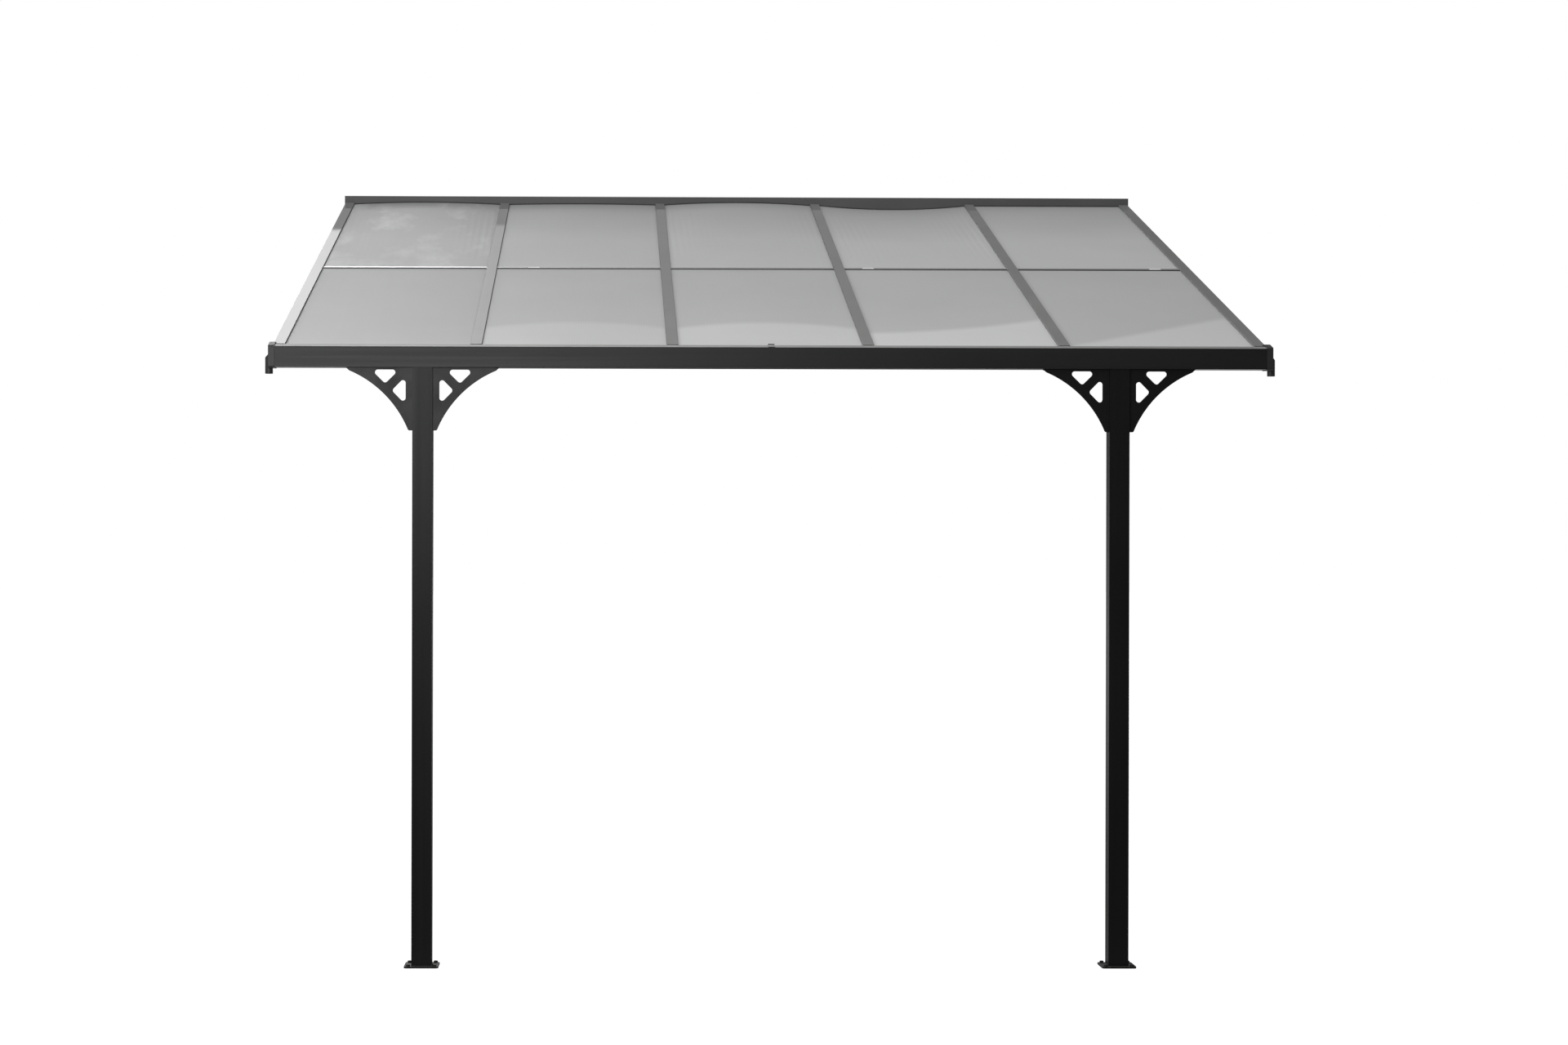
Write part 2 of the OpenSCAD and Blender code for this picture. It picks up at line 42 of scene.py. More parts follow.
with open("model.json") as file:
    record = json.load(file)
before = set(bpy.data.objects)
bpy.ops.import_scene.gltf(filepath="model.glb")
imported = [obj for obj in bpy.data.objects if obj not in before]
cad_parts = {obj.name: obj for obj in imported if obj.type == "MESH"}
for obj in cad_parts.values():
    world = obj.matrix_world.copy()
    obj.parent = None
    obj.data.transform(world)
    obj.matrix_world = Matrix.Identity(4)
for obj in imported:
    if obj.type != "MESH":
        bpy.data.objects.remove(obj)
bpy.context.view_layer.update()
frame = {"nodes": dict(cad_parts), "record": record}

NODES = frame["nodes"]
MOUNTS = {m["name"]: m for m in frame["record"]["mounts"]}
MM = 0.001
BAYS = 5
RAFTERS = BAYS + 1
FIT = 0.3 * MM

# The roof's plane and the frame's levels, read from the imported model
SLOPE = math.radians(15.85)
CAP_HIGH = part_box("rafter_cap_3")[1]
LEDGER_FACE = -CAP_HIGH.y - FIT
PLANE = CAP_HIGH.z + FIT * math.tan(SLOPE)
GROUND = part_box("base_plate_left")[0].z
GUTTER_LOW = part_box("gutter_left")[0].z
GUTTER_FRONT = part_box("gutter_left")[0].y
# Each upper sheet's shade: a brightness gain per bay, which is painted light
UPPER_SHEET_LIGHT = (1.13, 1.24, 1.31, 1.38, 1.38)
# Each lower sheet's shade as a brightness gain per bay, which is painted light, the upper edge of the painted
# reflection band at its end (its Y at the bay's left side, its rise to the right and its arch) and how much paler that
# band is
LOWER_SHEET_LIGHT = ((1.055, None, 1.0), (1.165, (-2.64, 0.0, 0.11), 1.145), (1.2, (-2.64, 0.0, 0.11), 1.21),
                (1.23, (-2.70, 0.25, -0.055), 1.255), (1.215, (-2.93, 0.52, 0.0), 1.215))
BOWS = (9 * MM, 4 * MM, 12 * MM, -17 * MM, 0.0)
CAP_WIDE = 40 * MM
CAP_TALL = 8 * MM
RAFTER_TALL = 52 * MM


def rafter_x(i):
    low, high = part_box(f"rafter_{i}")
    return (low.x + high.x) / 2


BAY = rafter_x(2) - rafter_x(1)


def on_roof(x, s, t):
    """A point x along the wall, s down the slope from the ledger's face and t above the cap plane."""
    return Vector((x, -LEDGER_FACE - s * math.cos(SLOPE) - t * math.sin(SLOPE),
                   PLANE - s * math.sin(SLOPE) + t * math.cos(SLOPE)))


def crown(u, wide, bow):
    """Height of an upper sheet's surface over its flat margins, u from the middle of its bay."""
    return bow * max(0.0, 1 - (2 * u / wide) ** 2)


def sizes():
    return bpy.context.scene.patio_sizes


def finish():
    return bpy.context.scene.patio_finish


def studio():
    return bpy.context.scene.patio_studio


# Sizes and colours that a user may change
class PatioSizes(PropertyGroup):
    anchor_head: FloatProperty(
        name="Anchor head", description="Width across the flats of an anchor bolt's head",
        default=0.013, min=0.008, max=0.02, unit="LENGTH")
    anchor_washer: FloatProperty(
        name="Anchor washer", description="Radius of the washer under an anchor bolt",
        default=0.0085, min=0.006, max=0.012, unit="LENGTH")
    wall_head: FloatProperty(
        name="Wall bolt head", description="Width across the flats of a wall bolt's head",
        default=0.015, min=0.008, max=0.02, unit="LENGTH")
    screw_head: FloatProperty(
        name="Screw head", description="Radius of a pan head screw",
        default=0.0045, min=0.002, max=0.008, unit="LENGTH")
    edge: FloatProperty(
        name="Edge radius", description="Rounding of the coated sections' edges",
        default=0.0008, min=0.0, max=0.002, unit="LENGTH")
    seal: FloatProperty(
        name="Seal width", description="Width of the rubber seals that show beside the caps",
        default=0.0015, min=0.001, max=0.006, unit="LENGTH")


class PatioFinish(PropertyGroup):
    coat: FloatVectorProperty(
        name="Powder coat", description="Colour of the coated aluminium and steel",
        subtype="COLOR", size=3, min=0, max=1, default=(0.0075, 0.0075, 0.0078))
    moulding: FloatVectorProperty(
        name="Mouldings", description="Colour of the end caps, plugs and spouts",
        subtype="COLOR", size=3, min=0, max=1, default=(0.02, 0.02, 0.0205))
    sheet: FloatVectorProperty(
        name="Roof sheets", description="Colour of the translucent roof sheets",
        subtype="COLOR", size=3, min=0, max=1, default=(0.43, 0.431, 0.432))
    zinc: FloatVectorProperty(
        name="Zinc", description="Colour of bare fasteners",
        subtype="COLOR", size=3, min=0, max=1, default=(0.52, 0.52, 0.5))
    flute: FloatProperty(
        name="Flute pitch", description="Spacing of the ribs inside the twin-wall sheets",
        default=0.006, min=0.003, max=0.02, unit="LENGTH")


class PatioStudio(PropertyGroup):
    lens: FloatProperty(
        name="Lens", description="Focal length of the camera in millimetres",
        default=68.43, min=20, max=200)
    shift_x: FloatProperty(name="Shift X", description="Sideways shift of the lens", default=0.0858)
    shift_y: FloatProperty(name="Shift Y", description="Upward shift of the lens", default=0.0056)
    distance: FloatProperty(
        name="Distance", description="Distance of the camera from the gutter's front",
        default=10.66, min=2, max=40, unit="LENGTH")
    aside: FloatProperty(
        name="Aside", description="Place of the camera along the wall, from the middle of the roof",
        default=-0.5737, min=-5, max=5, unit="LENGTH")
    eye: FloatProperty(
        name="Eye height", description="Height of the camera above the ground",
        default=1.5746, min=0.2, max=5, unit="LENGTH")
    yaw: FloatProperty(name="Yaw", description="Turn of the camera to the right",
                       default=0.0129, subtype="ANGLE")
    pitch: FloatProperty(name="Pitch", description="Upward tilt of the camera",
                         default=-0.0012, subtype="ANGLE")
    roll: FloatProperty(name="Roll", description="Roll of the camera", default=0.0021, subtype="ANGLE")
    key: FloatProperty(name="Key light", description="Power of the front key light in watts", default=125, min=0)
    strip: FloatProperty(
        name="Overhead strip", description="Power of the long softbox over the gutter in watts", default=4, min=0)
    fill: FloatProperty(name="Fill light", description="Power of the top fill light in watts", default=45, min=0)
    card: FloatProperty(
        name="Left card", description="Brightness of the reflected card behind the roof's left end", default=5.1, min=0)
    ambient: FloatProperty(
        name="Ambient", description="Strength of the world's light on the object", default=0.5, min=0, max=2)


# Material nodes
def new_material(name):
    mat = bpy.data.materials.new(name)
    mat.use_nodes = True
    nodes = mat.node_tree.nodes
    return mat, nodes, mat.node_tree.links, nodes["Principled BSDF"]


def place(nodes, links, scale=(1, 1, 1), turn=(0, 0, 0)):
    """Object coordinates in metres, stretched by scale."""
    coord = nodes.new("ShaderNodeTexCoord")
    mapping = nodes.new("ShaderNodeMapping")
    mapping.inputs["Scale"].default_value = scale
    mapping.inputs["Rotation"].default_value = turn
    links.new(coord.outputs["Object"], mapping.inputs["Vector"])
    return mapping.outputs["Vector"]


def noise(nodes, links, where, scale, detail=2.0, rough=0.5):
    tex = nodes.new("ShaderNodeTexNoise")
    tex.inputs["Scale"].default_value = scale
    tex.inputs["Detail"].default_value = detail
    tex.inputs["Roughness"].default_value = rough
    links.new(where, tex.inputs["Vector"])
    return tex.outputs["Fac"]


def spread(nodes, links, value, low, high, start=0.0, end=1.0):
    """Maps value from start..end to low..high."""
    node = nodes.new("ShaderNodeMapRange")
    node.inputs["From Min"].default_value = start
    node.inputs["From Max"].default_value = end
    node.inputs["To Min"].default_value = low
    node.inputs["To Max"].default_value = high
    links.new(value, node.inputs["Value"])
    return node.outputs["Result"]


def blend_colours(nodes, links, factor, dark, light):
    node = nodes.new("ShaderNodeMix")
    node.data_type = "RGBA"
    node.inputs["A"].default_value = (*dark, 1)
    node.inputs["B"].default_value = (*light, 1)
    links.new(factor, node.inputs["Factor"])
    return node.outputs["Result"]


def calc(nodes, links, operation, *values):
    """A math node on sockets and numbers."""
    node = nodes.new("ShaderNodeMath")
    node.operation = operation
    for socket, value in zip(node.inputs, values):
        if isinstance(value, (int, float)):
            socket.default_value = value
        else:
            links.new(value, socket)
    return node.outputs["Value"]


def split(nodes, links, vector):
    node = nodes.new("ShaderNodeSeparateXYZ")
    links.new(vector, node.inputs["Vector"])
    return node.outputs


def bump(nodes, links, height, strength, distance, before=None):
    node = nodes.new("ShaderNodeBump")
    node.inputs["Strength"].default_value = strength
    node.inputs["Distance"].default_value = distance
    links.new(height, node.inputs["Height"])
    if before is not None:
        links.new(before, node.inputs["Normal"])
    return node.outputs["Normal"]


def tint(colour, gain):
    return tuple(min(1.0, c * gain) for c in colour)


def overlay(nodes, links, factor, under, over):
    node = nodes.new("ShaderNodeMix")
    node.data_type = "RGBA"
    links.new(factor, node.inputs["Factor"])
    links.new(under, node.inputs["A"])
    links.new(over, node.inputs["B"])
    return node.outputs["Result"]


def powder_coat(name, along, turn=(0, 0, 0), gloss=0.25, rough=0.4, colour=None, dust_and_top_light=(0.05, 0.05, 0.049),
                peel=0.22, side_light_colour=None, side_light_way=-1):
    """Satin powder coat: fine orange peel, faint draw lines along the section, and settled dust with painted top light
    on faces that look up.
    """
    mat, nodes, links, shader = new_material(name)
    coat = colour or finish().coat
    fine = noise(nodes, links, place(nodes, links), 1100, 2)
    broad = noise(nodes, links, place(nodes, links), 3.5, 3)
    lines = noise(nodes, links, place(nodes, links, along, turn), 1.0, 3, 0.6)
    shade = spread(nodes, links, broad, 0.25, 0.75, 0.3, 0.7)
    normal = split(nodes, links, nodes.new("ShaderNodeNewGeometry").outputs["True Normal"])
    body = blend_colours(nodes, links, shade, tint(coat, 0.86), tint(coat, 1.14))
    top_lit_dusty = blend_colours(nodes, links, shade, tint(dust_and_top_light, 0.9), tint(dust_and_top_light, 1.1))
    # dust and painted top light: faces that look up are painted paler
    body = overlay(nodes, links, spread(nodes, links, normal["Z"], 0.0, 1.0, 0.55, 0.95), body, top_lit_dusty)
    # painted side light: faces that look to one side are painted paler
    if side_light_colour:
        painted_side_light = blend_colours(nodes, links, shade, tint(side_light_colour, 0.9), tint(side_light_colour, 1.1))
        facing = calc(nodes, links, "MULTIPLY", normal["X"], side_light_way)
        body = overlay(nodes, links, spread(nodes, links, facing, 0.0, 1.0, 0.55, 0.95), body, painted_side_light)
    links.new(body, shader.inputs["Base Color"])
    links.new(spread(nodes, links, lines, rough - 0.05, rough + 0.05, 0.3, 0.7), shader.inputs["Roughness"])
    skin = bump(nodes, links, fine, peel, 0.00012)
    links.new(bump(nodes, links, lines, 0.12 if peel > 0.1 else 0.03, 0.0003, skin), shader.inputs["Normal"])
    shader.inputs["IOR"].default_value = 1.5
    shader.inputs["Specular IOR Level"].default_value = gloss
    return mat, shader


def glaze(shader, weight, rough):
    """A thin clear layer over a finish."""
    shader.inputs["Coat Weight"].default_value = weight
    shader.inputs["Coat Roughness"].default_value = rough
    shader.inputs["Coat IOR"].default_value = 1.5


def moulded_plastic(name, colour, rough):
    mat, nodes, links, shader = new_material(name)
    grain = noise(nodes, links, place(nodes, links), 1600, 2)
    cloud = noise(nodes, links, place(nodes, links), 14, 2)
    links.new(blend_colours(nodes, links, cloud, tint(colour, 0.88), tint(colour, 1.12)),
              shader.inputs["Base Color"])
    links.new(spread(nodes, links, grain, rough - 0.06, rough + 0.06, 0.3, 0.7), shader.inputs["Roughness"])
    links.new(bump(nodes, links, grain, 0.3, 0.00012), shader.inputs["Normal"])
    shader.inputs["Specular IOR Level"].default_value = 0.33
    return mat


def zinc_plate(name, gain=1.0):
    mat, nodes, links, shader = new_material(name)
    patch = noise(nodes, links, place(nodes, links), 240, 3)
    zinc = tint(finish().zinc, gain)
    links.new(blend_colours(nodes, links, patch, tint(zinc, 0.75), tint(zinc, 1.15)),
              shader.inputs["Base Color"])
    links.new(spread(nodes, links, patch, 0.28, 0.45, 0.3, 0.7), shader.inputs["Roughness"])
    links.new(bump(nodes, links, patch, 0.2, 0.0001), shader.inputs["Normal"])
    shader.inputs["Metallic"].default_value = 1.0
    return mat


def seal_rubber(name, colour):
    mat, nodes, links, shader = new_material(name)
    grain = noise(nodes, links, place(nodes, links), 900, 2)
    links.new(blend_colours(nodes, links, grain, tint(colour, 0.8), tint(colour, 1.2)),
              shader.inputs["Base Color"])
    links.new(spread(nodes, links, grain, 0.55, 0.7, 0.3, 0.7), shader.inputs["Roughness"])
    links.new(bump(nodes, links, grain, 0.25, 0.0002), shader.inputs["Normal"])
    return mat


def painted_reflection_mask(nodes, links, start, rise, arch, left):
    """Mask of a painted reflection band on the end of a lower sheet, up to an edge that rises and arches across the
    bay.
    """
    where = split(nodes, links, place(nodes, links))
    share = calc(nodes, links, "DIVIDE", calc(nodes, links, "SUBTRACT", where["X"], left), BAY)
    rest = calc(nodes, links, "SUBTRACT", 1.0, share)
    curve = calc(nodes, links, "MULTIPLY", calc(nodes, links, "MULTIPLY", share, rest), 4 * arch)
    edge = calc(nodes, links, "ADD", calc(nodes, links, "MULTIPLY_ADD", share, rise, start), curve)
    beyond = calc(nodes, links, "SUBTRACT", where["Y"], edge)
    return spread(nodes, links, beyond, 1.0, 0.0, -0.03, 0.03)


def fluted_sheet(name, gain=1.0, reflected_band=None, reflection_lift=1.3, upper=False, smears=False):
    """Grey twin-wall sheet: hidden ribs down the slope, a smooth skin, a pale painted reflection band at its lower end,
    and painted shade towards the ledger on upper sheets.
    """
    mat, nodes, links, shader = new_material(name)
    sheet = tint(finish().sheet, gain)
    # ribs run down the slope, so they vary along X alone
    ribs = nodes.new("ShaderNodeTexWave")
    ribs.wave_type = "BANDS"
    ribs.bands_direction = "X"
    ribs.inputs["Scale"].default_value = 0.3142 / finish().flute
    links.new(place(nodes, links), ribs.inputs["Vector"])
    rib = spread(nodes, links, ribs.outputs["Fac"], 0.0, 1.0, 0.1, 0.9)
    cloud = noise(nodes, links, place(nodes, links), 2.2, 4)
    skin = noise(nodes, links, place(nodes, links, (40, 1.2, 1.2)), 1.0, 3)
    mixed = calc(nodes, links, "MULTIPLY_ADD", rib, 0.25, cloud)
    shade = spread(nodes, links, mixed, 0.0, 1.0, 0.3, 0.95)
    body = blend_colours(nodes, links, shade, tint(sheet, 0.97), tint(sheet, 1.04))
    # painted reflection: the lower end of the sheet is painted paler up to an arched edge
    if reflected_band:
        pale = blend_colours(nodes, links, shade, tint(sheet, 0.97 * reflection_lift), tint(sheet, 1.04 * reflection_lift))
        body = overlay(nodes, links, painted_reflection_mask(nodes, links, *reflected_band), body, pale)
    if upper:
        # painted shade: the sheet is painted a little darker towards the ledger, where its shelf lies under it
        near = split(nodes, links, place(nodes, links))["Y"]
        shaded = blend_colours(nodes, links, shade, tint(sheet, 0.74), tint(sheet, 0.79))
        body = overlay(nodes, links, spread(nodes, links, near, 0.0, 1.0, -0.9, -0.04), body, shaded)
    if smears:
        wiped = noise(nodes, links, place(nodes, links, (5.5, 2.2, 1)), 1.0, 5, 0.62)
        bright = blend_colours(nodes, links, shade, tint(sheet, 1.36), tint(sheet, 1.46))
        body = overlay(nodes, links, spread(nodes, links, wiped, 0.0, 0.6, 0.5, 0.72), body, bright)
    links.new(body, shader.inputs["Base Color"])
    links.new(spread(nodes, links, skin, 0.385, 0.415, 0.3, 0.7), shader.inputs["Roughness"])
    fine = bump(nodes, links, skin, 0.03, 0.0004)
    links.new(bump(nodes, links, rib, 0.05, 0.00006, fine), shader.inputs["Normal"])
    shader.inputs["IOR"].default_value = 1.58
    shader.inputs["Specular IOR Level"].default_value = 0.007
    glaze(shader, 0.02, 0.03)
    return mat


def finish_for(node):
    """The finish of a CAD node, by its name."""
    if node.startswith(("sheet_upper", "sheet_lower")):
        return node.replace("sheet", "twin_wall")
    if node in ("ledger_end_caps", "rafter_end_plugs") or node.startswith(("gutter_end", "spout")):
        return "moulding"
    if node == "joint_clips":
        return "clip_white"
    if node in ("sheet_joints", "sheet_end_trims"):
        return "grey_coat"
    if node.startswith("rafter_cap"):
        # cap 1 and the other caps differ in which side is painted lighter as painted side light
        return "coat_cap_1" if node == "rafter_cap_1" else "coat_caps"
    if node.startswith("rafter"):
        return "coat_down_slope"
    if node.startswith("post_"):
        return "coat_upright"
    if node.startswith(("bracket", "base_plate")):
        return "coat_steel"
    return "coat_ledger_painted_lighter" if node == "wall_ledger" else "coat_gutter"


def make_finishes():
    long_grain = 60
    along_x = (0.6, long_grain, long_grain)
    down = (long_grain, 0.6, long_grain)
    roof_turn = (-SLOPE, 0, 0)
    # painted highlight: the gutter's rolled lip and other faces that look up are painted pale, as dust and top light
    powder_coat("coat_gutter", along_x, gloss=0.33, rough=0.5, dust_and_top_light=(0.235, 0.235, 0.232))
    # painted light: the ledger has the same coat as the frame, painted about twelve times lighter
    powder_coat("coat_ledger_painted_lighter", along_x, colour=(0.095, 0.095, 0.095))
    powder_coat("coat_down_slope", down, roof_turn, 0.2, 0.35)
    # painted light: the caps' tops are painted pale, and cap 1's +X side and the other caps' -X sides are painted
    # lighter too
    for name, side, way in (("coat_cap_1", (0.12, 0.12, 0.12), 1), ("coat_caps", (0.25, 0.25, 0.25), -1)):
        mat, shader = powder_coat(name, down, roof_turn, 0.0, 0.3, dust_and_top_light=(0.225, 0.225, 0.224), peel=0.05,
                                  side_light_colour=side, side_light_way=way)
        glaze(shader, 0.25, 0.012)
    powder_coat("coat_upright", (long_grain, long_grain, 0.6), gloss=0.14)
    powder_coat("coat_steel", (9, 9, 9), gloss=0.18)
    mat, shader = powder_coat("grey_coat", along_x, colour=(0.25, 0.25, 0.25), dust_and_top_light=(0.3, 0.3, 0.302), peel=0.05)
    nodes, links = mat.node_tree.nodes, mat.node_tree.links
    across = split(nodes, links, place(nodes, links))["X"]
    # painted highlight: the joint and end trim in the first bay are painted pale
    first = spread(nodes, links, across, 1.0, 0.0, rafter_x(2) - 0.01, rafter_x(2) + 0.01)
    links.new(blend_colours(nodes, links, first, (0.22, 0.22, 0.222), (0.72, 0.72, 0.72)), shader.inputs["Base Color"])
    glaze(shader, 0.25, 0.02)
    moulded_plastic("moulding", finish().moulding, 0.5)
    moulded_plastic("clip_white", (0.85, 0.85, 0.84), 0.4)
    zinc_plate("zinc")
    zinc_plate("black_zinc", 0.12)
    seal_rubber("seal", (0.02, 0.02, 0.02))
    seal_rubber("grey_seal", (0.16, 0.16, 0.16))
    # each sheet's brightness per bay is painted light; upper sheets also get painted shade towards the ledger
    for i, gain in enumerate(UPPER_SHEET_LIGHT, 1):
        fluted_sheet(f"twin_wall_upper_{i}", gain, upper=True, smears=i == 1)
    # lower sheets: painted light per bay and a painted reflection band at their ends
    for i, (gain, reflected_band, reflection_lift) in enumerate(LOWER_SHEET_LIGHT, 1):
        fluted_sheet(f"twin_wall_lower_{i}", gain, reflected_band and (*reflected_band, rafter_x(i)), reflection_lift)


def paint(obj, name):
    obj.data.materials.clear()
    obj.data.materials.append(bpy.data.materials[name])


def soften(obj, width, segments=2):
    """Rounds a CAD node's edges in the render, with its own mesh left as it is."""
    bevel = obj.modifiers.new("edges", "BEVEL")
    bevel.width = width
    bevel.segments = segments
    bevel.limit_method = "ANGLE"
    bevel.angle_limit = math.radians(40)
    bevel.harden_normals = False
    bevel.use_clamp_overlap = True


# Meshes of small parts
def mesh_piece(name, build, material):
    bm = bmesh.new()
    build(bm)
    bmesh.ops.recalc_face_normals(bm, faces=bm.faces)
    mesh = bpy.data.meshes.new(name)
    bm.to_mesh(mesh)
    bm.free()
    obj = bpy.data.objects.new(name, mesh)
    bpy.context.scene.collection.objects.link(obj)
    paint(obj, material)
    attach(obj, "root")
    return obj


def basis(axis):
    """A turn that takes +Z to axis."""
    return Vector(axis).to_track_quat("Z", "Y").to_matrix().to_4x4()


def add_lathe(bm, at, axis, profile, sides=32, phase=0.0):
    """Revolves (radius, height) points about axis at a place. The first and last radius may be zero."""
    turn = Matrix.Translation(Vector(at)) @ basis(axis)
    rings = []
    for radius, height in profile:
        if radius < 1e-7:
            rings.append([bm.verts.new(turn @ Vector((0, 0, height)))])
            continue
        angles = (2 * math.pi * (k + phase) / sides for k in range(sides))
        rings.append([bm.verts.new(turn @ Vector((radius * math.cos(a), radius * math.sin(a), height)))
                      for a in angles])
    for low, high in zip(rings, rings[1:]):
        for k in range(max(len(low), len(high))):
            corners = [low[k % len(low)], low[(k + 1) % len(low)],
                       high[(k + 1) % len(high)], high[k % len(high)]]
            face = list(dict.fromkeys(corners))
            if len(face) > 2:
                bm.faces.new(face)


def add_hex_bolt(bm, at, axis, flats, washer):
    """Hexagon head on a round washer, with a chamfered crown."""
    radius = flats / 2 / math.cos(math.pi / 6)
    washer_t = 0.0016
    head_t = 0.42 * flats
    crown = 0.0008
    add_lathe(bm, at, axis, [(0, 0.0001), (washer, 0.0001), (washer, washer_t * 0.8),
                             (washer * 0.97, washer_t), (0, washer_t)], 40)
    top = washer_t + head_t
    add_lathe(bm, at, axis, [(0, washer_t + 0.0001), (radius, washer_t + 0.0001), (radius, top - crown),
                             (radius * 0.88, top), (0, top)], 6)


def add_pan_screw(bm, at, axis, radius):
    """Domed pan head with a round drive recess."""
    rise = 0.55 * radius
    drive = 0.42 * radius
    deep = 0.4 * rise
    dome = [(radius * math.cos(a), 0.25 * rise + 0.75 * rise * math.sin(a))
            for a in (math.radians(d) for d in (0, 18, 36, 52, 64))]
    add_lathe(bm, at, axis, [(0, 0.0001), (radius, 0.0001), *dome, (drive, dome[-1][1] + 0.02 * rise),
                             (drive * 0.95, dome[-1][1] - deep), (0, dome[-1][1] - deep)], 24)


class PATIO_OT_finishes(Operator):
    """Gives every piece of the frame its own finish and softens its edges"""
    bl_idname = "patio.finishes"
    bl_label = "Frame finishes"

    def execute(self, context):
        make_finishes()
        for name, obj in NODES.items():
            paint(obj, finish_for(name))
            if not name.startswith("sheet_upper") and not name.startswith("sheet_lower"):
                soften(obj, sizes().edge)
        return {"FINISHED"}


class PATIO_OT_anchors(Operator):
    """Adds the anchor bolts and washers in the base plates"""
    bl_idname = "patio.anchors"
    bl_label = "Anchor bolts"

    def execute(self, context):
        for side in ("left", "right"):
            low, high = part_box("base_plate_" + side)
            mount = MOUNTS["anchors_" + side]
            reach = mount["dims"]["spacing_x_mm"] * MM / 2
            plate_top = GROUND + 0.006
            middle = (low + high) / 2
            def build(bm):
                for x in (-1, 1):
                    for y in (-1, 1):
                        at = (middle.x + x * reach, middle.y + y * reach, plate_top)
                        add_hex_bolt(bm, at, (0, 0, 1), sizes().anchor_head, sizes().anchor_washer)
            mesh_piece("anchor_bolts_" + side, build, "black_zinc")
        return {"FINISHED"}


class PATIO_OT_wall_bolts(Operator):
    """Adds the bolts through the ledger's screw flange"""
    bl_idname = "patio.wall_bolts"
    bl_label = "Wall bolts"

    def execute(self, context):
        flange = 0.003
        def build(bm):
            for name in ("left", "middle", "right"):
                mount = MOUNTS["wall_bolts_" + name]
                reach = mount["dims"]["spacing_x_mm"] * MM / 2
                x, y, z = mount["pos_m"]
                for side in (-1, 1):
                    add_hex_bolt(bm, (x + side * reach, -flange, z), (0, -1, 0), sizes().wall_head, 0.011)
        mesh_piece("wall_bolts", build, "zinc")
        return {"FINISHED"}


def add_screws(bm, places, axis):
    for at in places:
        add_pan_screw(bm, at, axis, sizes().screw_head)


class PATIO_OT_bracket_screws(Operator):
    """Adds the screws through the brackets' flanges into the gutter and the posts"""
    bl_idname = "patio.bracket_screws"
    bl_label = "Bracket screws"

    def execute(self, context):
        flange = 3 * MM
        off_plate = (14 * MM, 31 * MM)
        along = [d * MM for d in (52, 122, 192)]
        for name in ("left_outer", "left_inner", "right_inner", "right_outer"):
            low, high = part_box("bracket_" + name)
            post_low, post_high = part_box("post_" + name.split("_")[0])
            way = 1 if low.x > post_low.x else -1
            root = low.x if way > 0 else high.x

            def build(bm):
                for d in along:
                    for off in off_plate:
                        y = low.y + off
                        add_screws(bm, [(root + way * d, y, high.z - flange)], (0, 0, -1))
                        add_screws(bm, [(root + way * flange, y, high.z - d)], (way, 0, 0))
            mesh_piece("bracket_screws_" + name, build, "coat_steel")
        return {"FINISHED"}


class PATIO_OT_rafter_screws(Operator):
    """Adds the screws that hold the rafters to the ledger's shelf and to the seat behind the gutter"""
    bl_idname = "patio.rafter_screws"
    bl_label = "Rafter screws"

    def execute(self, context):
        under = (0, math.sin(SLOPE), -math.cos(SLOPE))
        apart = 8 * MM
        shelf_s = 22 * MM
        seat_s = (-GUTTER_FRONT - 80 * MM - 16 * MM - LEDGER_FACE) / math.cos(SLOPE)
        shelf_under = -(RAFTER_TALL + FIT + 3 * MM * math.cos(SLOPE))
        seat_under = -(RAFTER_TALL + FIT + 2.5 * MM * math.cos(SLOPE))

        def build(bm):
            for i in range(1, RAFTERS + 1):
                for side in (-1, 1):
                    x = rafter_x(i) + side * apart
                    add_screws(bm, [on_roof(x, shelf_s, shelf_under), on_roof(x, seat_s, seat_under)], under)
        mesh_piece("rafter_screws", build, "zinc")
        return {"FINISHED"}


class PATIO_OT_splice_screws(Operator):
    """Adds the screws of the gutter's inner splice, on the side that faces the wall"""
    bl_idname = "patio.splice_screws"
    bl_label = "Splice screws"

    def execute(self, context):
        back = GUTTER_FRONT + 80 * MM

        def build(bm):
            for x in (-60, -25, 25, 60):
                add_screws(bm, [(x * MM, back, GUTTER_LOW + 17 * MM)], (0, 1, 0))
        mesh_piece("splice_screws", build, "coat_steel")
        return {"FINISHED"}


def add_strip(bm, section, spine):
    """Sweeps a closed section along a spine: spine maps a section point to a place at each station."""
    rings = [[bm.verts.new(station(a, b)) for a, b in section] for station in spine]
    count = len(section)
    for low, high in zip(rings, rings[1:]):
        for k in range(count):
            bm.faces.new((low[k], low[(k + 1) % count], high[(k + 1) % count], high[k]))
    bm.faces.new(list(reversed(rings[0])))
    bm.faces.new(rings[-1])


